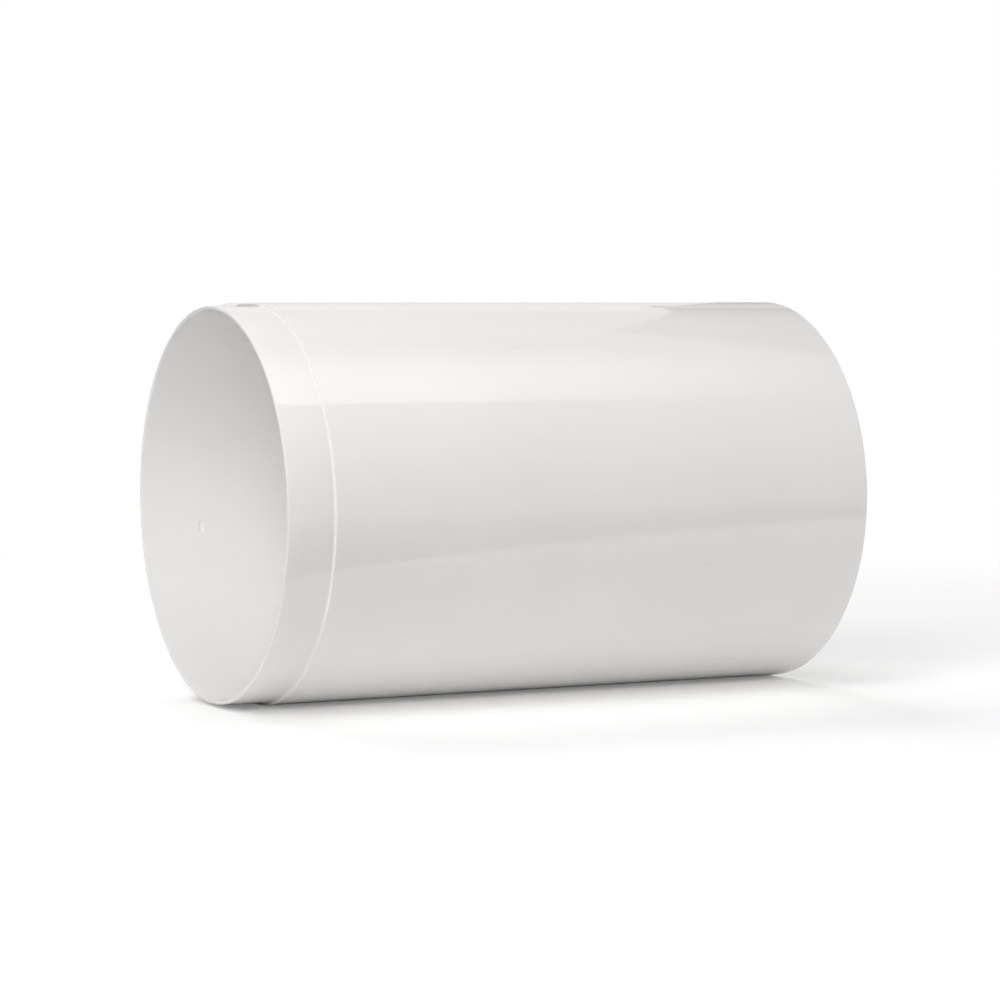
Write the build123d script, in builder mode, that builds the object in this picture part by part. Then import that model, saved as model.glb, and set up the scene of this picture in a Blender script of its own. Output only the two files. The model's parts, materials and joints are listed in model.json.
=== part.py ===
from build123d import *
import os
from math import cos, radians, sin

# Wall duct sleeve: one moulded tube with a plain bore, a reduced spigot at its
# mouth and a raised locating lug on top of the spigot. Lengths are in millimetres.
# The axis lies along X, level, as in the wall: the mouth is at -X and the lug at +Z.

# Tube
overall_length = 200.0
body_diameter = 125.0

# Spigot at the mouth: wall at the lip, lead-in cone, then the step up to the body
spigot_length = 15.0
lip_wall = 1.1
lead_in_length = 4.5
lead_in_rise = 0.3
shoulder_step = 0.8

# Roundings of the lip and the shoulder, bevels at the bore's mouth and at the tail
lip_outer_round = 0.5
lip_inner_bevel = 0.25
shoulder_cove = 0.45
shoulder_round = 0.2
tail_bevel = 0.4

# Locating lug: from its ramp's foot back to the shoulder
lug_setback = 5.2
lug_ramp_length = 2.5
lug_width = 12.0
lug_drop = 0.1
lug_edge_round = 0.15

# Gate dimple in the bore, on the far side and a little below the axis
gate_setback = 20.4
gate_length = 4.0
gate_width = 2.0
gate_depth = 0.35
gate_fall_angle = 10.5

# Radii and stations that follow from the sizes above
body_radius = body_diameter / 2
spigot_radius = body_radius - shoulder_step
lip_radius = spigot_radius - lead_in_rise
bore_radius = lip_radius - lip_wall
lug_radius = body_radius - lug_drop
lug_root_radius = spigot_radius - lip_wall / 4
mouth = -overall_length / 2
tail = overall_length / 2
shoulder = mouth + spigot_length
lug_foot = mouth + lug_setback
lug_ramp_end = lug_foot + lug_ramp_length
lug_ramp_slope = (lug_radius - spigot_radius) / lug_ramp_length
lug_ramp_root = lug_foot - (spigot_radius - lug_root_radius) / lug_ramp_slope
lug_end = shoulder + body_radius - bore_radius

# Edges that share a wall or a step may be broken over this much of it
broken_share = 0.9


def fit_edges(thickness, first, second):
    """Two broken edges of one wall, eased down together where it is too thin for both."""
    ease = min(1, broken_share * thickness / (first + second))
    return first * ease, second * ease


lip_inner, lip_outer = fit_edges(lip_wall, lip_inner_bevel, lip_outer_round)
foot_cove, edge_round = fit_edges(shoulder_step, shoulder_cove, shoulder_round)
tail_inner, tail_outer = fit_edges(body_radius - bore_radius, tail_bevel, tail_bevel)
lug_edge = min(lug_edge_round, broken_share * (lug_radius - spigot_radius))

# Half sections are drawn below the axis, so that each turn closes along the underside
half_section = Plane(origin=(0, 0, 0), x_dir=(1, 0, 0), z_dir=(0, 1, 0))

os.makedirs("parts", exist_ok=True)

with BuildPart() as duct_sleeve:
    # Lug: a ramped ring, cut down to a straight-sided strip on top of the tube
    with BuildSketch(half_section):
        with BuildLine():
            Polyline(
                (lug_ramp_root, lug_root_radius),
                (lug_ramp_end, lug_radius),
                (lug_end, lug_radius),
                (lug_end, lug_root_radius),
                close=True,
            )
        make_face()
    revolve(axis=Axis.X)
    with BuildSketch(Plane.XY):
        Rectangle(overall_length, lug_width)
    extrude(amount=body_diameter, mode=Mode.INTERSECT)
    lug_sides = duct_sleeve.faces().filter_by(Axis.Y)
    lug_crown = duct_sleeve.faces().filter_by(GeomType.PLANE, reverse=True).sort_by(Axis.Z)[-2:]
    lug_edges = [edge for edge in lug_sides.edges() if edge in lug_crown.edges()]
    fillet(lug_edges, radius=lug_edge)

    # Tube wall: lip, lead-in cone, spigot, shoulder, body and tail in one turn
    with BuildSketch(half_section) as wall:
        with BuildLine():
            Polyline(
                (mouth, bore_radius),
                (mouth, lip_radius),
                (mouth + lead_in_length, spigot_radius),
                (shoulder, spigot_radius),
                (shoulder, body_radius),
                (tail, body_radius),
                (tail, bore_radius),
                close=True,
            )
        make_face()
        rounded_corners = (
            ((mouth, lip_radius), lip_outer),
            ((shoulder, spigot_radius), foot_cove),
            ((shoulder, body_radius), edge_round),
        )
        for corner, rounding in rounded_corners:
            fillet(wall.vertices().sort_by_distance(corner)[0], radius=rounding)
        bevelled_corners = (
            ((mouth, bore_radius), lip_inner),
            ((tail, body_radius), tail_outer),
            ((tail, bore_radius), tail_inner),
        )
        for corner, bevel in bevelled_corners:
            chamfer(wall.vertices().sort_by_distance(corner)[0], length=bevel)
    revolve(axis=Axis.X)

    # Gate dimple: a shallow slot across the bore's wall, lying around the tube
    outward = (0, cos(radians(gate_fall_angle)), -sin(radians(gate_fall_angle)))
    around = (0, sin(radians(gate_fall_angle)), cos(radians(gate_fall_angle)))
    gate_plane = Plane(origin=(mouth + gate_setback, 0, 0), x_dir=around, z_dir=outward)
    with BuildSketch(gate_plane.offset(bore_radius - gate_depth)):
        SlotOverall(gate_length, gate_width)
    extrude(amount=2 * gate_depth, mode=Mode.SUBTRACT)

duct_sleeve.part.label = "duct_sleeve"
export_step(duct_sleeve.part, "parts/duct_sleeve.step")
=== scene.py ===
import json
import logging
from dataclasses import dataclass
from enum import Enum
from math import asin, ceil, cos, degrees, hypot, pi, radians, sin, sqrt

import bpy
from mathutils import Matrix, Vector


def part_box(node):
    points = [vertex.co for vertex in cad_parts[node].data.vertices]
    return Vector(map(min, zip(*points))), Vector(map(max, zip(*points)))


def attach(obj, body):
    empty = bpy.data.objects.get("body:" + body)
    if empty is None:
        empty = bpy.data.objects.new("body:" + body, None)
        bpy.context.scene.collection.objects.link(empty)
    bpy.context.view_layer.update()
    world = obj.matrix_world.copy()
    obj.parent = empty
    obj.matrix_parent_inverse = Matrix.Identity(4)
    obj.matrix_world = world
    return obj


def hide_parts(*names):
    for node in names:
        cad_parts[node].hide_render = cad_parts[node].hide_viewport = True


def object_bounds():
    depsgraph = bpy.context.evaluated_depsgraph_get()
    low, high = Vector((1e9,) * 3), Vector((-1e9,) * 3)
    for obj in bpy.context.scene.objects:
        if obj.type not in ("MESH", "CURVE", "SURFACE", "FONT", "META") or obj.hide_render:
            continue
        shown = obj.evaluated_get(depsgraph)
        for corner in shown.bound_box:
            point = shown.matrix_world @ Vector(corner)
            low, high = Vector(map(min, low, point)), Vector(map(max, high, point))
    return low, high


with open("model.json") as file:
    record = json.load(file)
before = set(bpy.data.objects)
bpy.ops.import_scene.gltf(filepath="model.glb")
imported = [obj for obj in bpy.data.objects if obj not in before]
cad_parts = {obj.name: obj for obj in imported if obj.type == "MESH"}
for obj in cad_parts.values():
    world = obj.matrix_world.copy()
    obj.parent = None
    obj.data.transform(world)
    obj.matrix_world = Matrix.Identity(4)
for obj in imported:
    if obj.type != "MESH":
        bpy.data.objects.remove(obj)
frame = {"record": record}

CAD_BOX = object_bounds()
MM = 0.001
FLOOR = CAD_BOX[0][2]
LOG = logging.getLogger("duct_sleeve")

Colour = tuple[float, float, float]
Place = tuple[float, float, float]
Pair = tuple[float, float]
Socket = bpy.types.NodeSocket

# Share of a step by which spaced values may lie further apart, so that a rounding error adds no step
STEP_SLACK = 0.001


class Zone(Enum):
    """Stretches of the wall's half section, in order from the mouth over the outside and back."""

    LIP = "lip"
    LEAD_IN = "lead-in"
    SPIGOT = "spigot"
    SHOULDER = "shoulder"
    BODY = "body"
    TAIL = "tail"
    BORE = "bore"


class Rays(Enum):
    """Which rays meet a studio card."""

    FILL = "light only"
    REFLECTION = "reflections only"


@dataclass(frozen=True)
class Ring:
    """One ring of the wall: its station along the axis, its radius and its stretch."""

    station: float
    radius: float
    zone: Zone


@dataclass(frozen=True)
class Column:
    """One line of the mesh along the tube.

    angle is measured from the top towards the far side and holds where the wall is plain. lug_side
    and lug_drop are its place across the lug and its depth below the crown, and gate_angle is its
    angle at the gate dimple.
    """

    angle: float
    lug_side: float | None = None
    lug_drop: float | None = None
    gate_angle: float | None = None


def spaced(first: float, last: float, step: float) -> list[float]:
    """Evenly spaced values from first to last, both included.

    Args:
        first: The value to begin at.
        last: The value to end at.
        step: The largest distance between two values.

    Returns:
        The values in order.
    """
    count = max(1, ceil(abs(last - first) / step - STEP_SLACK))
    return [first + (last - first) * i / count for i in range(count + 1)]


def arc(centre: Pair, radius: float, first: float, last: float, steps: int) -> list[Pair]:
    """Points along an arc of the half section.

    Args:
        centre: Station and radius of the arc's centre.
        radius: The arc's own radius.
        first: The angle to begin at, in degrees.
        last: The angle to end at, in degrees.
        steps: How many steps the arc is divided into.

    Returns:
        Stations and radii from the first angle to the last.
    """
    turns = [radians(first + (last - first) * i / steps) for i in range(steps + 1)]
    return [(centre[0] + radius * cos(a), centre[1] + radius * sin(a)) for a in turns]


def flat_mesh(name: str, width: float, height: float) -> bpy.types.Mesh:
    """A single flat face around its own middle, facing +Z.

    Args:
        name: The mesh's name.
        width: Its size along X.
        height: Its size along Y.

    Returns:
        The mesh.
    """
    wide, tall = width / 2, height / 2
    corners = ((-wide, -tall), (wide, -tall), (wide, tall), (-wide, tall))
    made = bpy.data.meshes.new(name)
    made.from_pydata([(x, y, 0.0) for x, y in corners], [], [(0, 1, 2, 3)])
    return made


def eased(value: float) -> float:
    """A smooth step of a value that is first held between 0 and 1."""
    held = min(1.0, max(0.0, value))
    return held * held * (3 - 2 * held)


@dataclass(frozen=True)
class WallSection:
    """Half section of the tube's wall: lip, lead-in, spigot, shoulder, body, tail and bore.

    The steps are the largest distances between rings, crease_guard is the distance of the rings
    beside a crease, and body_runs are those of the body's first rings from the shoulder's edge.
    """

    length: float
    body_radius: float
    spigot_radius: float
    bore_radius: float
    spigot_length: float
    lip_wall: float = 1.1 * MM
    lead_in_length: float = 4.5 * MM
    lip_round: float = 0.5 * MM
    lip_bevel: float = 0.25 * MM
    cove: float = 0.6 * MM
    shoulder_round: float = 0.16 * MM
    tail_bevel: float = 0.4 * MM
    arc_steps: int = 9
    long_step: float = 8 * MM
    short_step: float = 0.9 * MM
    crease_guard: float = 0.12 * MM
    body_runs: tuple[float, ...] = (0.8 * MM, 2.0 * MM, 4.0 * MM)

    @property
    def mouth(self) -> float:
        """Station of the mouth."""
        return -self.length / 2

    @property
    def tail(self) -> float:
        """Station of the plain end."""
        return self.length / 2

    @property
    def shoulder(self) -> float:
        """Station of the shoulder's face."""
        return self.mouth + self.spigot_length

    @property
    def cove_start(self) -> float:
        """Station at which the spigot runs out into the cove."""
        return self.shoulder - self.cove

    def reach(self, radius: float) -> float:
        """Station at which the shoulder reaches a radius.

        Args:
            radius: A radius between the spigot's and the body's.

        Returns:
            The station on the cove, the face or the rounded edge.
        """
        cove_top = self.spigot_radius + self.cove
        if radius < cove_top:
            return self.cove_start + sqrt(self.cove**2 - (cove_top - radius) ** 2)
        rounding = self.shoulder_round
        edge_foot = self.body_radius - rounding
        if radius < edge_foot:
            return self.shoulder
        return self.shoulder + rounding - sqrt(rounding**2 - (radius - edge_foot) ** 2)

    def rings(self, creases: list[float], gate: float, gate_reach: float, gate_step: float) -> list[Ring]:
        """Rings of the wall in order, each of which joins the next one and the last the first.

        Args:
            creases: Stations on the spigot where its surface bends, which get rings close by.
            gate: Station of the gate dimple in the bore.
            gate_reach: How far the fine rings reach on each side of the dimple.
            gate_step: The distance between fine rings.

        Returns:
            The rings from the bore's mouth over the outside and back through the bore.
        """
        outside = self.lip_rings() + self.spigot_rings(creases) + self.shoulder_rings() + self.body_rings()
        return outside + self.bore_rings(gate, gate_reach, gate_step)

    def lip_rings(self) -> list[Ring]:
        """Rings of the lip and the lead-in.

        Returns:
            The rings from the bevel at the bore's mouth to the end of the lead-in cone.
        """
        mouth, bore = self.mouth, self.bore_radius
        lip_radius = bore + self.lip_wall
        slope = (self.spigot_radius - lip_radius) / self.lead_in_length
        tilt = sqrt(1 + slope * slope)
        lean = degrees(asin(slope / tilt))
        centre = (mouth + self.lip_round, lip_radius + self.lip_round * (slope - tilt))
        found = [Ring(mouth + self.lip_bevel, bore, Zone.LIP), Ring(mouth, bore + self.lip_bevel, Zone.LIP)]
        found += [Ring(*p, Zone.LIP) for p in arc(centre, self.lip_round, 180, 90 + lean, self.arc_steps)]
        for x in spaced(found[-1].station, mouth + self.lead_in_length, self.short_step)[1:]:
            found.append(Ring(x, lip_radius + slope * (x - mouth), Zone.LEAD_IN))
        return found

    def spigot_rings(self, creases: list[float]) -> list[Ring]:
        """Rings of the spigot, closer together beside each crease.

        Args:
            creases: Stations on the spigot where its surface bends.

        Returns:
            The rings between the lead-in and the cove.
        """
        stops = sorted({self.mouth + self.lead_in_length, self.cove_start, *creases})
        stations: set[float] = set()
        for first, last in zip(stops, stops[1:]):
            inner = spaced(first + self.crease_guard, last - self.crease_guard, self.short_step)
            stations.update([first, *inner, last])
        return [Ring(x, self.spigot_radius, Zone.SPIGOT) for x in sorted(stations)[1:-1]]

    def shoulder_rings(self) -> list[Ring]:
        """Rings of the shoulder.

        Returns:
            The rings of the cove at its foot and of its rounded edge.
        """
        foot = (self.cove_start, self.spigot_radius + self.cove)
        edge = (self.shoulder + self.shoulder_round, self.body_radius - self.shoulder_round)
        points = arc(foot, self.cove, -90, 0, self.arc_steps)
        points += arc(edge, self.shoulder_round, 180, 90, self.arc_steps)
        return [Ring(*p, Zone.SHOULDER) for p in points]

    def body_rings(self) -> list[Ring]:
        """Rings of the body and the tail.

        Returns:
            The rings from the shoulder's edge to the bevel in the bore at the tail.
        """
        edge, end = self.shoulder + self.shoulder_round, self.tail - self.tail_bevel
        near = [edge + run for run in self.body_runs]
        stations = near + spaced(near[-1], end, self.long_step)[1:]
        found = [Ring(x, self.body_radius, Zone.BODY) for x in stations]
        found.append(Ring(self.tail, self.body_radius - self.tail_bevel, Zone.TAIL))
        found.append(Ring(self.tail, self.bore_radius + self.tail_bevel, Zone.TAIL))
        return found

    def bore_rings(self, gate: float, gate_reach: float, gate_step: float) -> list[Ring]:
        """Rings of the bore, close together at the gate dimple.

        Args:
            gate: Station of the gate dimple.
            gate_reach: How far the fine rings reach on each side of the dimple.
            gate_step: The distance between fine rings.

        Returns:
            The rings from the tail's bevel back to the last one before the lip's bevel.
        """
        after, before = gate + gate_reach, gate - gate_reach
        stations = spaced(self.tail - self.tail_bevel, after, self.long_step)
        stations += spaced(after, before, gate_step)[1:]
        stations += spaced(before, self.mouth + self.lip_bevel, self.long_step / 2)[1:-1]
        return [Ring(x, self.bore_radius, Zone.BORE) for x in stations]


@dataclass(frozen=True)
class LocatingLug:
    """Raised strip on top of the spigot: a ramp from its foot, then a crown back to the shoulder.

    setback is from the mouth to the ramp's foot and crown_drop from the body's radius down to the
    crown. edge_share is the share of its own height that the rounded edge may take on the ramp,
    and flank and gather_run are how far the mesh lines stay close beside and behind the lug.
    """

    section: WallSection
    setback: float = 5.2 * MM
    crown_drop: float = 0.1 * MM
    width: float = 12.0 * MM
    ramp_length: float = 2.5 * MM
    edge_round: float = 0.15 * MM
    edge_share: float = 0.8
    side_draft: float = 0.01 * MM
    edge_steps: int = 4
    crown_step: float = 0.75 * MM
    flank: float = 2.6 * MM
    flank_steps: int = 3
    gather_run: float = 4.0 * MM

    @property
    def foot(self) -> float:
        """Station of the ramp's foot."""
        return self.section.mouth + self.setback

    @property
    def radius(self) -> float:
        """Radius of the crown."""
        return self.section.body_radius - self.crown_drop

    @property
    def ramp_end(self) -> float:
        """Station at which the ramp meets the crown."""
        return self.foot + self.ramp_length

    def places(self) -> list[tuple[float, float | None]]:
        """Places of the mesh lines across the lug.

        Returns:
            Sideways places from one flank to the other, each with its depth below the crown, or
            None on the spigot beside the lug.
        """
        half, rounding = self.width / 2, self.edge_round
        crown = spaced(0, half - rounding, self.crown_step)
        side: list[tuple[float, float | None]] = [(y, 0.0) for y in crown]
        for i in range(1, self.edge_steps + 1):
            turn = pi / 2 * i / self.edge_steps
            side.append((half - rounding + rounding * sin(turn), rounding * (1 - cos(turn))))
        flank = half + self.side_draft
        side += [(y, None) for y in spaced(flank, flank + self.flank, self.flank / self.flank_steps)]
        return [(-y, drop) for y, drop in reversed(side[1:])] + side

    def rise(self, station: float, base: float, drop: float) -> float:
        """Radius of the lug's surface at a station of the spigot.

        Args:
            station: Place along the axis.
            base: Radius of the spigot below.
            drop: Depth of this line below the crown at full height.

        Returns:
            The radius of the ramp or the crown.
        """
        share = min(1.0, max(0.0, (station - self.foot) / self.ramp_length))
        height = (self.radius - base) * share
        return base + height - min(drop, drop / self.edge_round * self.edge_share * height)

    def gather(self, ring: Ring) -> float:
        """How far the mesh lines close up on the lug at a ring, from 0 to 1.

        Args:
            ring: The ring of the wall.

        Returns:
            1 along the lug, easing to 0 towards the lip and along the body.
        """
        if ring.zone in (Zone.TAIL, Zone.BORE):
            return 0.0
        section = self.section
        ahead = (ring.station - section.mouth) / (self.foot - section.mouth)
        behind = 1 - (ring.station - section.shoulder - section.shoulder_round) / self.gather_run
        return eased(min(ahead, behind))


@dataclass(frozen=True)
class GateDimple:
    """Shallow slot left by the mould's gate in the bore's wall, lying around the tube.

    angle is from the top towards the far side, wall is how wide the slot's sloping side is, and
    margin and gather_run are how far the mesh lines stay close beyond the slot.
    """

    section: WallSection
    setback: float = 20.4 * MM
    angle: float = radians(100.5)
    length: float = 4.0 * MM
    width: float = 2.0 * MM
    depth: float = 0.35 * MM
    wall: float = 0.6 * MM
    step: float = 0.125 * MM
    margin: float = 0.3 * MM
    gather_run: float = 6.0 * MM

    @property
    def station(self) -> float:
        """Station of the slot's middle."""
        return self.section.mouth + self.setback

    @property
    def bore_radius(self) -> float:
        """Radius of the plain wall around it."""
        return self.section.bore_radius

    @property
    def axial_reach(self) -> float:
        """Half the run of fine rings along the axis."""
        return self.width / 2 + self.margin

    def places(self) -> list[float]:
        """Angles of the mesh lines across the dimple, from one end to the other."""
        reach = (self.length / 2 + self.margin) / self.bore_radius
        return spaced(self.angle - reach, self.angle + reach, self.step / self.bore_radius)

    def gather(self, ring: Ring) -> float:
        """How far the mesh lines close up on the dimple at a ring, from 0 to 1."""
        beyond = abs(ring.station - self.station) - self.axial_reach
        return eased(1 - beyond / self.gather_run) if ring.zone is Zone.BORE else 0.0

    def radius(self, station: float, angle: float) -> float:
        """Radius of the bore's wall at a place, with the slot sunk into it.

        Args:
            station: Place along the axis.
            angle: Angle from the top.

        Returns:
            The bore's radius, or the radius of the slot's side or flat floor.
        """
        turn = angle - self.angle
        if abs(turn) > self.length / self.bore_radius:
            return self.bore_radius
        end_round = self.width / 2
        past = max(0.0, abs(turn) * self.bore_radius - self.length / 2 + end_round)
        inside = end_round - hypot(station - self.station, past)
        floor = (self.bore_radius + self.depth) / cos(turn)
        return self.bore_radius + (floor - self.bore_radius) * eased(inside / self.wall)


class NodeSheet:
    """A node tree with short calls to add and join nodes."""

    def __init__(self, tree: bpy.types.NodeTree) -> None:
        """Takes over a node tree and clears it."""
        self.tree = tree
        tree.nodes.clear()

    def add(
        self, kind: str, inputs: dict[str | int, object] | None = None, **settings: object
    ) -> bpy.types.Node:
        """Adds a node.

        Args:
            kind: The node's type, without its Shader prefix.
            inputs: Values or output sockets for its input sockets, by name or number.
            **settings: Values for the node's own properties.

        Returns:
            The new node.
        """
        node = self.tree.nodes.new(f"ShaderNode{kind}")
        for name, value in settings.items():
            setattr(node, name, value)
        for key, value in (inputs or {}).items():
            if isinstance(value, Socket):
                self.tree.links.new(value, node.inputs[key])
            else:
                node.inputs[key].default_value = value
        return node

    def math(self, operation: str, *values: object) -> Socket:
        """Output of a Math node on the given values or sockets."""
        return self.add("Math", dict(enumerate(values)), operation=operation).outputs[0]

    def squares(self, first: Socket, second: Socket) -> Socket:
        """Output of the sum of two squares."""
        return self.math("ADD", self.math("POWER", first, 2.0), self.math("POWER", second, 2.0))

    def ramp(self, value: Socket, low: float, high: float, first: object, last: object) -> Socket:
        """Output of a smooth Map Range from low..high to first..last."""
        inputs = {"Value": value, "From Min": low, "From Max": high, "To Min": first, "To Max": last}
        return self.add("MapRange", inputs, interpolation_type="SMOOTHSTEP").outputs[0]


@dataclass(frozen=True)
class ScuffAndPaintedShadeMark:
    """A faint scuff, a speck or a line of painted shade on the outside: its place, its half sizes and its
    shade.

    angle is in degrees from the top towards the far side, and shade is the share of the base colour
    by which the mark is lighter or darker.
    """

    station: float
    angle: float
    along: float
    around: float
    shade: float


@dataclass(frozen=True)
class GlossPlastic:
    """Glossy moulded plastic with faint draw lines, slow waves, a clouded tint and a few marks.

    noise_span is the range of the noises that tint and gloss follow, and mark_core the share of a
    mark's squared size inside which it has its full shade.
    """

    name: str
    colour: Colour
    roughness: Pair = (0.03, 0.06)
    smear_scale: float = 38.0
    tint_spread: float = 0.012
    cloud_scale: float = 16.0
    noise_span: Pair = (0.3, 0.7)
    wave_height: float = 0.06 * MM
    wave_scale: float = 22.0
    line_height: float = 0.006 * MM
    line_scale: tuple[float, float, float] = (2.5, 300.0, 300.0)
    grain_height: float = 0.0006 * MM
    grain_scale: float = 1400.0
    warmth: Colour = (1.012, 0.997, 0.998)
    mark_core: float = 0.2
    marks: tuple[ScuffAndPaintedShadeMark, ...] = ()

    def tinted(self, share: float) -> tuple[float, float, float, float]:
        """The base colour, slightly warmed, made lighter or darker by a share of itself."""
        red, green, blue = (part * warm * (1 + share) for part, warm in zip(self.colour, self.warmth))
        return (red, green, blue, 1.0)

    def material(self) -> bpy.types.Material:
        """Makes the finish.

        Returns:
            A material with its colour, roughness and relief from nodes.
        """
        made = bpy.data.materials.new(self.name)
        made.use_nodes = True
        sheet = NodeSheet(made.node_tree)
        place = sheet.add("TexCoord").outputs["Object"]
        cloud = {"Vector": place, "Scale": self.cloud_scale, "Detail": 3.0, "Roughness": 0.55}
        share = sheet.ramp(sheet.add("TexNoise", cloud).outputs[0], *self.noise_span, 0.0, 1.0)
        deep, pale = self.tinted(-self.tint_spread), self.tinted(self.tint_spread)
        tint = sheet.add("MixRGB", {"Fac": share, "Color1": deep, "Color2": pale}).outputs[0]

        smear = {"Vector": place, "Scale": self.smear_scale, "Detail": 5.0, "Roughness": 0.6}
        gloss = sheet.ramp(sheet.add("TexNoise", smear).outputs[0], *self.noise_span, *self.roughness)

        inputs = {
            "Base Color": self.marked(sheet, place, tint),
            "Roughness": gloss,
            "IOR": 1.5,
            "Normal": self.relief(sheet, place),
        }
        shader = sheet.add("BsdfPrincipled", inputs).outputs[0]
        sheet.add("OutputMaterial", {"Surface": shader})
        return made

    def relief(self, sheet: NodeSheet, place: Socket) -> Socket:
        """Slow waves, draw lines along the tube and a fine grain, one over the other.

        Args:
            sheet: The material's nodes.
            place: The place on the object.

        Returns:
            The bent normal.
        """
        stretched = sheet.add("Mapping", {"Vector": place, "Scale": self.line_scale}).outputs[0]
        layers = (
            ({"Vector": place, "Scale": self.wave_scale, "Detail": 1.0}, self.wave_height),
            ({"Vector": stretched, "Scale": 1.0, "Detail": 3.0}, self.line_height),
            ({"Vector": place, "Scale": self.grain_scale, "Detail": 2.0}, self.grain_height),
        )
        below: dict[str | int, object] = {}
        for noise, height in layers:
            raised = sheet.add("TexNoise", noise).outputs[0]
            bump = sheet.add("Bump", {"Strength": 1.0, "Distance": height, "Height": raised, **below})
            below = {"Normal": bump.outputs[0]}
        return below["Normal"]

    def marked(self, sheet: NodeSheet, place: Socket, colour: Socket) -> Socket:
        """Adds the scuffs and specks, and the painted shade beside the lug, to a colour.

        Args:
            sheet: The material's nodes.
            place: The place on the object.
            colour: The colour below the marks.

        Returns:
            The colour with the marks on it.
        """
        parts = sheet.add("SeparateXYZ", {"Vector": place}).outputs
        angle = sheet.math("ARCTAN2", parts["Y"], parts["Z"])
        radius = sheet.math("SQRT", sheet.squares(parts["Y"], parts["Z"]))
        for mark in self.marks:
            along = sheet.math("DIVIDE", sheet.math("SUBTRACT", parts["X"], mark.station), mark.along)
            turn = sheet.math("MULTIPLY", sheet.math("SUBTRACT", angle, radians(mark.angle)), radius)
            around = sheet.math("DIVIDE", turn, mark.around)
            share = sheet.ramp(sheet.squares(along, around), 1.0, self.mark_core, 0.0, 1.0)
            mixed = sheet.add("MixRGB", {"Fac": share, "Color1": colour, "Color2": self.tinted(mark.shade)})
            colour = mixed.outputs[0]
        return colour


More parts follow.
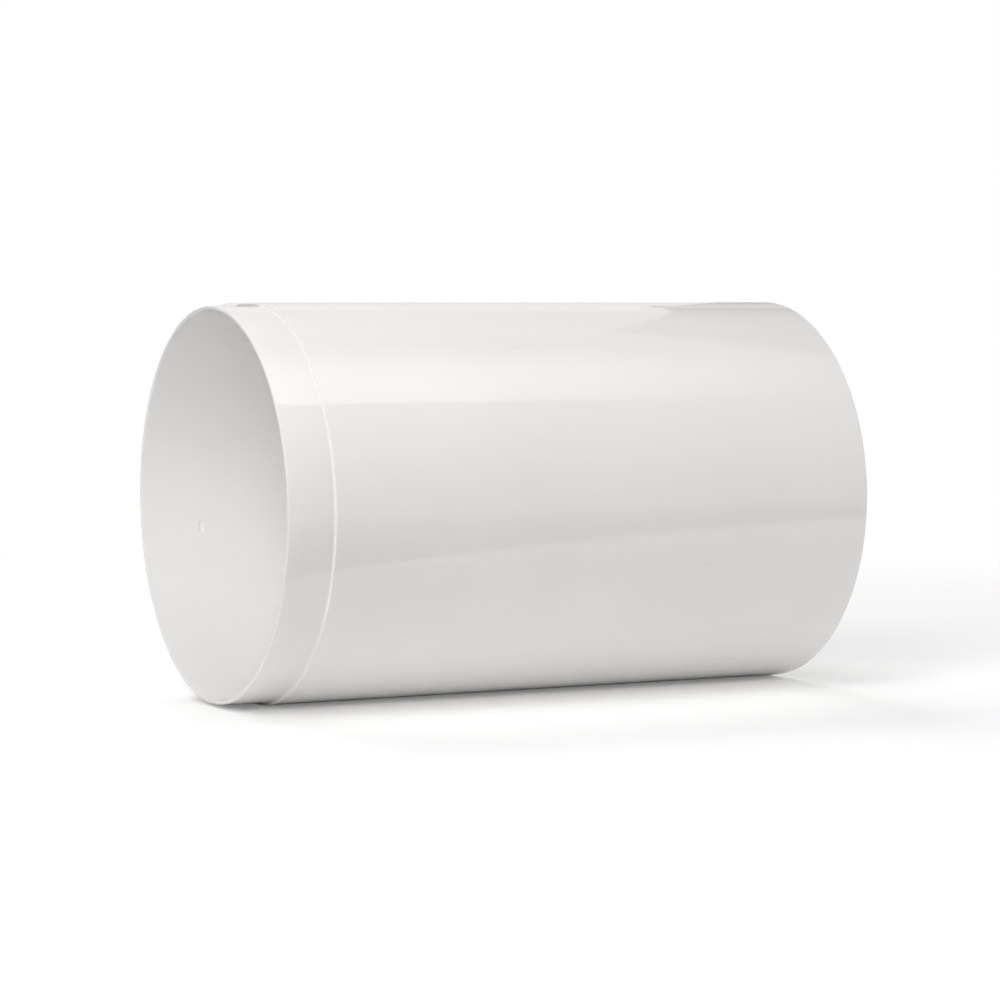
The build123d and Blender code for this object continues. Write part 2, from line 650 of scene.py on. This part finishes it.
@dataclass(frozen=True)
class DuctSleeve:
    """The sleeve: one moulded tube with its spigot, locating lug and gate dimple.

    column_step is the largest angle between mesh lines on the plain wall, gate_span the angle on
    each side of the gate over which its lines spread out there, and crease_angle the angle from
    which an edge stays sharp.
    """

    section: WallSection
    lug: LocatingLug
    gate: GateDimple
    finish: GlossPlastic
    node: str = "duct_sleeve"
    slot: str = "white_plastic"
    column_step: float = radians(1.0)
    gate_span: float = radians(4.0)
    crease_angle: float = radians(25)

    @classmethod
    def from_frame(cls, record: dict, marks: tuple[ScuffAndPaintedShadeMark, ...]) -> "DuctSleeve":
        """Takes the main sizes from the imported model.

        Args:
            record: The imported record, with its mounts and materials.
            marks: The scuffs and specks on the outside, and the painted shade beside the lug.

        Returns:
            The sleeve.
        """
        low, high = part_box(cls.node)
        sizes = {mount["name"]: mount["dims"] for mount in record["mounts"]}
        section = WallSection(
            length=high[0] - low[0],
            body_radius=(high[2] - low[2]) / 2,
            spigot_radius=sizes["spigot_joint"]["r_mm"] * MM,
            bore_radius=sizes["duct_bore"]["r_mm"] * MM,
            spigot_length=sizes["spigot_joint"]["length_mm"] * MM,
        )
        colour = next(m["base_color"] for m in record["materials"] if m["slot"] == cls.slot)
        finish = GlossPlastic("gloss_white_plastic", tuple(colour), marks=marks)
        return cls(section, LocatingLug(section), GateDimple(section), finish)

    def columns(self) -> list[Column]:
        """Mesh lines once around the tube, closed up at the lug and at the gate dimple.

        Returns:
            The lines in order of their angle.
        """
        places = self.lug.places()
        reach = asin(places[-1][0] / self.section.spigot_radius)
        found = []
        for i, (side, drop) in enumerate(places):
            found.append(Column(-reach + 2 * reach * i / (len(places) - 1), lug_side=side, lug_drop=drop))
        first, last = self.gate.angle - self.gate_span, self.gate.angle + self.gate_span
        found += [Column(a) for a in spaced(reach, first, self.column_step)[1:-1]]
        turns = self.gate.places()
        for i, turn in enumerate(turns):
            found.append(Column(first + (last - first) * i / (len(turns) - 1), gate_angle=turn))
        found += [Column(a) for a in spaced(last, 2 * pi - reach, self.column_step)[1:-1]]
        return found

    def lifted(self, rings: list[Ring], drop: float) -> list[Pair]:
        """Stations and radii of all rings along one line of the lug.

        Args:
            rings: The rings of the wall.
            drop: Depth of this line below the crown.

        Returns:
            The wall's half section with the lug on it, one point for each ring.
        """
        crown = self.lug.radius - drop
        buried = [i for i, ring in enumerate(rings) if ring.zone is Zone.SHOULDER and ring.radius < crown]
        start, end = self.section.cove_start, self.section.reach(crown)
        points = []
        for i, ring in enumerate(rings):
            if i in buried:
                share = (i - buried[0]) / (len(buried) - 1)
                points.append((start + (end - start) * share, crown))
            elif ring.zone is Zone.SPIGOT and ring.station > self.lug.foot:
                points.append((ring.station, self.lug.rise(ring.station, ring.radius, drop)))
            else:
                points.append((ring.station, ring.radius))
        return points

    def line(self, column: Column, rings: list[Ring]) -> list[Place]:
        """Points of one mesh line, one for each ring.

        Args:
            column: The line.
            rings: The rings of the wall.

        Returns:
            The points in the frame of the part.
        """
        section = [(ring.station, ring.radius) for ring in rings]
        if column.lug_drop is not None:
            section = self.lifted(rings, column.lug_drop)
        points = []
        for ring, (station, radius) in zip(rings, section):
            angle = column.angle
            if column.lug_side is not None:
                angle += (asin(column.lug_side / radius) - angle) * self.lug.gather(ring)
            if column.gate_angle is not None:
                angle += (column.gate_angle - angle) * self.gate.gather(ring)
            if ring.zone is Zone.BORE:
                radius = self.gate.radius(station, angle)
            points.append((station, radius * sin(angle), radius * cos(angle)))
        return points

    def mesh(self) -> bpy.types.Mesh:
        """Makes the wall's closed mesh, with one flat map of its unrolled surface.

        Returns:
            The mesh, in metres in the frame of the part.
        """
        creases = [self.lug.foot, self.lug.ramp_end]
        rings = self.section.rings(creases, self.gate.station, self.gate.axial_reach, self.gate.step)
        columns = self.columns()
        lines = [self.line(column, rings) for column in columns]
        tall, wide = len(rings), len(columns)
        points = [lines[j][i] for i in range(tall) for j in range(wide)]
        # Run of the half section up to each ring, and angle of each line, for the flat map
        walk = [0.0]
        for ring, after in zip(rings, rings[1:] + rings[:1]):
            walk.append(walk[-1] + hypot(after.station - ring.station, after.radius - ring.radius))
        turns = [column.angle for column in columns] + [columns[0].angle + 2 * pi]
        faces, corners = [], []
        for i in range(tall):
            for j in range(wide):
                below, beside = (i + 1) % tall, (j + 1) % wide
                faces.append((i * wide + j, below * wide + j, below * wide + beside, i * wide + beside))
                for row, col in ((i, j), (i + 1, j), (i + 1, j + 1), (i, j + 1)):
                    corners += [walk[row] / walk[-1], (turns[col] - turns[0]) / (2 * pi)]
        made = bpy.data.meshes.new(self.node)
        made.from_pydata(points, [], faces)
        made.uv_layers.new(name="OFBake").uv.foreach_set("vector", corners)
        made.shade_smooth()
        made.set_sharp_from_angle(angle=self.crease_angle)
        made.validate()
        return made

    def build(self) -> bpy.types.Object:
        """Builds and dresses the sleeve in place of its plain node.

        Returns:
            The sleeve's object.
        """
        piece = bpy.data.objects.new("moulded_duct_sleeve", self.mesh())
        bpy.context.scene.collection.objects.link(piece)
        piece.data.materials.append(self.finish.material())
        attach(piece, "root")
        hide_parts(self.node)
        return piece


@dataclass(frozen=True)
class StudioFloor:
    """Plain pale floor under the sleeve, white to the camera where no shadow falls.

    lift is the glow that the camera sees on it, and over fade it turns to plain white. Reflections
    see the table shine, and past its front and left edges they meet a dimmer room, whose glow goes
    from the first to the last of its two tones over room_run. front_out points out of the front.
    """

    height: float
    span: float = 8.0
    colour: Colour = (0.92, 0.92, 0.92)
    lift: float = 0.18
    fade: Pair = (0.22, 0.6)
    front_edge: Pair = (-0.051, -0.124)
    front_out: Pair = (-0.442, -0.897)
    front_room: Pair = (0.2, 0.9)
    left_edge: float = -0.16
    left_room: Pair = (0.68, 0.3)
    edge_run: float = 0.5 * MM
    room_run: float = 0.45
    shine: float = 0.5
    shine_span: Pair = (-0.035, -0.1)

    def build(self) -> bpy.types.Object:
        """Builds the floor.

        Returns:
            The floor's object.
        """
        made = flat_mesh("studio_floor", self.span, self.span)
        floor = bpy.data.objects.new("studio_floor", made)
        floor.location.z = self.height
        bpy.context.scene.collection.objects.link(floor)
        made.materials.append(self.material())
        return floor

    def material(self) -> bpy.types.Material:
        """Makes the floor's matt finish, lifted to white for the camera.

        Beyond the front and left edges, light and reflections meet the dimmer room instead.

        Returns:
            The floor's material.
        """
        made = bpy.data.materials.new("studio_floor")
        made.use_nodes = True
        sheet = NodeSheet(made.node_tree)
        path = sheet.add("LightPath").outputs
        place = sheet.add("TexCoord").outputs["Object"]
        parts = sheet.add("SeparateXYZ", {"Vector": place}).outputs

        shown = sheet.math("MULTIPLY", path["Is Camera Ray"], self.lift)
        clear = sheet.ramp(parts["Y"], *self.shine_span, 0.0, self.shine)
        mirrored = sheet.math("MULTIPLY", path["Is Glossy Ray"], clear)
        glow = sheet.add("Emission", {"Strength": sheet.math("ADD", shown, mirrored)}).outputs[0]
        matt = sheet.add("BsdfDiffuse", {"Color": (*self.colour, 1.0)}).outputs[0]
        table = sheet.add("AddShader", {0: matt, 1: glow}).outputs[0]

        outward = sheet.math("ADD", *(sheet.math("MULTIPLY", parts[i], self.front_out[i]) for i in (0, 1)))
        front = sum(self.front_edge[i] * self.front_out[i] for i in (0, 1))
        rooms = ((outward, front, 1, self.front_room), (parts["X"], self.left_edge, -1, self.left_room))
        room = table
        for run, edge, way, tones in rooms:
            tone = sheet.ramp(run, edge, edge + way * self.room_run, *tones)
            dim = sheet.add("Emission", {"Strength": tone}).outputs[0]
            share = sheet.ramp(run, edge, edge + way * self.edge_run, 0.0, 1.0)
            room = sheet.add("MixShader", {0: share, 1: room, 2: dim}).outputs[0]

        white = sheet.add("Emission", {"Strength": 1.0}).outputs[0]
        reach = sheet.add("VectorMath", {0: place}, operation="LENGTH").outputs["Value"]
        distant = sheet.ramp(reach, *self.fade, 0.0, 1.0)
        seen = sheet.add("MixShader", {0: distant, 1: table, 2: white}).outputs[0]
        mixed = sheet.add("MixShader", {0: path["Is Camera Ray"], 1: room, 2: seen}).outputs[0]
        sheet.add("OutputMaterial", {"Surface": mixed})
        made.cycles.emission_sampling = "NONE"
        return made


@dataclass(frozen=True)
class SoftLamp:
    """A soft area lamp that faces its target and stays out of reflections."""

    name: str
    place: Place
    target: Place
    width: float
    height: float
    radiance: float

    @classmethod
    def around(
        cls,
        name: str,
        azimuth: float,
        elevation: float,
        distance: float,
        width: float,
        height: float,
        radiance: float,
    ) -> "SoftLamp":
        """A lamp at a direction from the middle of the sleeve, which it faces.

        Args:
            name: The lamp's name.
            azimuth: Its direction from the sleeve, in degrees from +X towards +Y.
            elevation: Its height above the level, in degrees.
            distance: Its distance from the middle of the sleeve.
            width: Its size from side to side.
            height: Its size upwards.
            radiance: How bright its face glows.

        Returns:
            The lamp.
        """
        turn, climb = radians(azimuth), radians(elevation)
        place = Vector((cos(climb) * cos(turn), cos(climb) * sin(turn), sin(climb))) * distance
        return cls(name, tuple(place), (0.0, 0.0, 0.0), width, height, radiance)

    def build(self) -> bpy.types.Object:
        """Builds the lamp.

        Returns:
            The lamp's object.
        """
        made = bpy.data.lights.new(self.name, "AREA")
        made.shape = "RECTANGLE"
        made.size, made.size_y = self.width, self.height
        made.energy = self.radiance * pi * self.width * self.height
        lamp = bpy.data.objects.new(self.name, made)
        turn = (Vector(self.target) - Vector(self.place)).to_track_quat("-Z", "Y").to_matrix().to_4x4()
        lamp.matrix_world = Matrix.Translation(self.place) @ turn
        bpy.context.scene.collection.objects.link(lamp)
        lamp.visible_camera = False
        lamp.visible_glossy = False
        lamp.visible_transmission = False
        return lamp


@dataclass(frozen=True)
class StudioCard:
    """A card around the sleeve, hidden from the camera, that glows on the side it faces.

    across is the direction of its width. feather is how far its glow fades in from the two ends of
    its width and then of its height. A solid card hides what is behind it, and any other one adds
    its glow to that.
    """

    name: str
    centre: Place
    facing: Place
    across: Place
    width: float
    height: float
    radiance: float
    rays: Rays
    feather: tuple[float, float, float, float] = (0.0, 0.0, 0.0, 0.0)
    solid: bool = False

    def build(self) -> bpy.types.Object:
        """Builds the card.

        Returns:
            The card's object.
        """
        toward = Vector(self.facing).normalized()
        side = (Vector(self.across) - toward * Vector(self.across).dot(toward)).normalized()
        upward = toward.cross(side)
        made = flat_mesh(self.name, self.width, self.height)
        card = bpy.data.objects.new(self.name, made)
        turn = Matrix((side, upward, toward)).transposed().to_4x4()
        card.matrix_world = Matrix.Translation(self.centre) @ turn
        bpy.context.scene.collection.objects.link(card)
        made.materials.append(self.material())
        card.visible_camera = False
        card.visible_shadow = False
        card.visible_transmission = False
        card.visible_diffuse = self.rays is Rays.FILL
        card.visible_glossy = self.rays is Rays.REFLECTION
        return card

    def material(self) -> bpy.types.Material:
        """Makes the card's glow, which fades over the feathered edges.

        Returns:
            The card's material.
        """
        made = bpy.data.materials.new(self.name)
        made.use_nodes = True
        sheet = NodeSheet(made.node_tree)
        place = sheet.add("TexCoord").outputs["Object"]
        parts = sheet.add("SeparateXYZ", {"Vector": place}).outputs
        left, right, near, far = self.feather
        wide, tall = self.width / 2, self.height / 2
        edges = (
            (parts["X"], -wide, left),
            (parts["X"], wide, -right),
            (parts["Y"], -tall, near),
            (parts["Y"], tall, -far),
        )
        glow: float | Socket = self.radiance
        for part, edge, run in edges:
            if run:
                glow = sheet.math("MULTIPLY", sheet.ramp(part, edge, edge + run, 0.0, 1.0), glow)
        lit = sheet.add("Emission", {"Strength": glow}).outputs[0]
        if self.solid:
            back = sheet.add("Emission", {"Strength": 0.0}).outputs[0]
        else:
            back = sheet.add("BsdfTransparent").outputs[0]
            lit = sheet.add("AddShader", {0: lit, 1: back}).outputs[0]
        behind = sheet.add("NewGeometry").outputs["Backfacing"]
        mixed = sheet.add("MixShader", {0: behind, 1: lit, 2: back}).outputs[0]
        sheet.add("OutputMaterial", {"Surface": mixed})
        made.cycles.emission_sampling = "NONE"
        return made


@dataclass(frozen=True)
class StudioWorld:
    """White surround for the camera and a softer one for reflections, which casts no light.

    Reflections see the tone of front before the sleeve and, over turn, the two of back behind it,
    the first one low and the second above back_climb.
    """

    back: Pair = (0.75, 0.49)
    front: float = 0.85
    turn: Pair = (-0.35, 0.05)
    back_climb: Pair = (0.42, 0.62)

    def build(self) -> bpy.types.World:
        """Builds the world.

        Returns:
            The world, set on the scene.
        """
        made = bpy.data.worlds.new("studio_surround")
        made.use_nodes = True
        sheet = NodeSheet(made.node_tree)
        white = (1.0, 1.0, 1.0, 1.0)
        dark = sheet.add("Background", {"Color": white, "Strength": 0.0}).outputs[0]
        toward = sheet.add("SeparateXYZ", {"Vector": sheet.add("TexCoord").outputs["Generated"]}).outputs
        back = sheet.ramp(toward["Z"], *self.back_climb, *self.back)
        around = sheet.ramp(toward["Y"], *self.turn, self.front, back)
        mirrored = sheet.add("Background", {"Color": white, "Strength": around}).outputs[0]
        seen = sheet.add("Background", {"Color": white, "Strength": 1.0}).outputs[0]
        path = sheet.add("LightPath").outputs
        shiny = sheet.add("MixShader", {0: path["Is Glossy Ray"], 1: dark, 2: mirrored}).outputs[0]
        mixed = sheet.add("MixShader", {0: path["Is Camera Ray"], 1: shiny, 2: seen}).outputs[0]
        sheet.add("OutputWorld", {"Surface": mixed})
        made.cycles.sampling_method = "NONE"
        bpy.context.scene.world = made
        return made


@dataclass(frozen=True)
class StudioCamera:
    """Camera at the photograph's place, level from side to side."""

    place: Place = (-0.4711, -0.9333, 0.0630)
    look: Place = (0.44993, 0.89097, -0.06117)
    lens: float = 117.0
    sensor: float = 36.0
    clip_start: float = 0.01

    def build(self) -> bpy.types.Object:
        """Builds the camera and makes it the scene's own.

        Returns:
            The camera's object.
        """
        made = bpy.data.cameras.new("studio_camera")
        made.lens = self.lens
        made.sensor_fit = "HORIZONTAL"
        made.sensor_width = self.sensor
        made.clip_start = self.clip_start
        camera = bpy.data.objects.new("studio_camera", made)
        turn = Vector(self.look).to_track_quat("-Z", "Y").to_matrix().to_4x4()
        camera.matrix_world = Matrix.Translation(self.place) @ turn
        bpy.context.scene.collection.objects.link(camera)
        bpy.context.scene.camera = camera
        return camera


# Scuffs and specks on the body, and at the end painted shade along both sides of the lug's foot
MARKS_AND_PAINTED_SHADE = (
    ScuffAndPaintedShadeMark(station=83.1 * MM, angle=-86.3, along=0.15 * MM, around=1.8 * MM, shade=-0.10),
    ScuffAndPaintedShadeMark(station=42.7 * MM, angle=-107.6, along=1.7 * MM, around=0.2 * MM, shade=-0.10),
    ScuffAndPaintedShadeMark(station=2.7 * MM, angle=-119.8, along=0.35 * MM, around=0.35 * MM, shade=0.12),
    ScuffAndPaintedShadeMark(station=-8.9 * MM, angle=-136.3, along=0.2 * MM, around=2.4 * MM, shade=-0.10),
    ScuffAndPaintedShadeMark(station=71.5 * MM, angle=-121.7, along=0.3 * MM, around=0.4 * MM, shade=-0.10),
    ScuffAndPaintedShadeMark(station=85.5 * MM, angle=-111.3, along=1.2 * MM, around=1.0 * MM, shade=-0.02),
    ScuffAndPaintedShadeMark(station=74.1 * MM, angle=-136.6, along=0.9 * MM, around=0.5 * MM, shade=-0.05),
    ScuffAndPaintedShadeMark(station=-14.6 * MM, angle=-38.9, along=2.6 * MM, around=0.4 * MM, shade=-0.05),
    # Painted shade: dark lines in the colour along the foot of both sides of the lug, where shade falls in
    # the corner
    ScuffAndPaintedShadeMark(station=-90.2 * MM, angle=-5.8, along=6.8 * MM, around=0.5 * MM, shade=-0.36),
    ScuffAndPaintedShadeMark(station=-90.2 * MM, angle=5.8, along=6.8 * MM, around=0.5 * MM, shade=-0.36),
)


def soft_lamps() -> list[SoftLamp]:
    """Lamps around the sleeve and one inside its bore, which brightens the deeper wall.

    Returns:
        The lamps in order.
    """
    return [
        SoftLamp(
            "overhead_lamp",
            place=(0.05, -0.175, 0.55),
            target=(0.05, -0.175, 0.0),
            width=0.8,
            height=0.35,
            radiance=1.5,
        ),
        SoftLamp(
            "bore_lamp",
            place=(0.09, -0.005, 0.01),
            target=(-0.06, 0.05, -0.05),
            width=0.045,
            height=0.045,
            radiance=1.12,
        ),
        SoftLamp.around(
            "key_lamp", azimuth=-145, elevation=40, distance=0.9, width=0.39, height=0.39, radiance=5.5
        ),
        SoftLamp.around(
            "low_front_lamp", azimuth=-131, elevation=15, distance=1.1, width=0.69, height=0.36, radiance=5.65
        ),
        SoftLamp.around(
            "right_lamp", azimuth=0, elevation=30, distance=2.0, width=1.25, height=1.05, radiance=1.3
        ),
        SoftLamp.around(
            "tail_lamp", azimuth=-20, elevation=8, distance=2.0, width=1.0, height=0.6, radiance=3.4
        ),
        SoftLamp.around(
            "back_lamp", azimuth=90, elevation=45, distance=1.0, width=0.65, height=0.45, radiance=5.35
        ),
        SoftLamp.around(
            "rear_lamp", azimuth=100, elevation=15, distance=2.0, width=1.5, height=0.8, radiance=2.0
        ),
    ]


def studio_cards() -> list[StudioCard]:
    """Cards around the sleeve: two glowing ones above, one on the floor and four darker flags.

    Returns:
        The cards in order.
    """
    along, down, up = (1, 0, 0), (0, 0, -1), (0, 0, 1)
    return [
        StudioCard(
            "overhead_card",
            centre=(0.055, -0.125, 0.55),
            facing=down,
            across=along,
            width=0.91,
            height=0.438,
            radiance=1.37,
            rays=Rays.REFLECTION,
            feather=(0.1, 0.3, 0.22, 0.006),
        ),
        StudioCard(
            "overhead_strip_card",
            centre=(-0.02, -0.194, 0.549),
            facing=down,
            across=along,
            width=0.76,
            height=0.3,
            radiance=0.5,
            rays=Rays.REFLECTION,
            feather=(0.1, 0.3, 0.2, 0.006),
        ),
        StudioCard(
            "table_glow_card",
            centre=(0.02, -0.04, FLOOR + 0.3 * MM),
            facing=up,
            across=along,
            width=0.34,
            height=0.06,
            radiance=0.15,
            rays=Rays.FILL,
            feather=(0.1, 0.1, 0.02, 0.02),
        ),
        StudioCard(
            "right_flag_card",
            centre=(0.943, 0.079, 0.6),
            facing=down,
            across=(0.94, 0.336, 0),
            width=1.0,
            height=0.7,
            radiance=0.0,
            rays=Rays.REFLECTION,
            solid=True,
        ),
        StudioCard(
            "back_flag_card",
            centre=(1.061, 0.574, 0.605),
            facing=down,
            across=(0.907, -0.42, 0),
            width=1.0,
            height=1.2,
            radiance=0.08,
            rays=Rays.REFLECTION,
            solid=True,
        ),
        StudioCard(
            "rear_flag_card",
            centre=(0.907, 0.415, 0.21),
            facing=(-0.45, -0.89, 0),
            across=(0.89, -0.45, 0),
            width=1.0,
            height=0.38,
            radiance=0.4,
            rays=Rays.REFLECTION,
            solid=True,
        ),
        StudioCard(
            "left_flag_card",
            centre=(-0.75, 1.0, 0.0),
            facing=(0.6, -0.8, 0),
            across=(0.8, 0.6, 0),
            width=1.4,
            height=1.2,
            radiance=0.2,
            rays=Rays.REFLECTION,
            solid=True,
        ),
    ]


def main() -> None:
    """Builds the sleeve, the studio and the camera in order, and reports each piece."""
    logging.basicConfig(level=logging.INFO, format="%(name)s: %(message)s")
    scene = bpy.context.scene
    scene.view_settings.view_transform = "Standard"
    sleeve = DuctSleeve.from_frame(frame["record"], MARKS_AND_PAINTED_SHADE)
    piece = sleeve.build()
    LOG.info("%s with %d faces", piece.name, len(piece.data.polygons))
    floor = StudioFloor(height=FLOOR).build()
    LOG.info("%s at %.4f m", floor.name, FLOOR)
    for lamp in soft_lamps():
        LOG.info("%s of %.2f by %.2f m", lamp.build().name, lamp.width, lamp.height)
    for card in studio_cards():
        LOG.info("%s of %.2f by %.2f m", card.build().name, card.width, card.height)
    LOG.info("%s", StudioWorld().build().name)
    LOG.info("%s", StudioCamera().build().name)


if __name__ == "__main__":
    main()
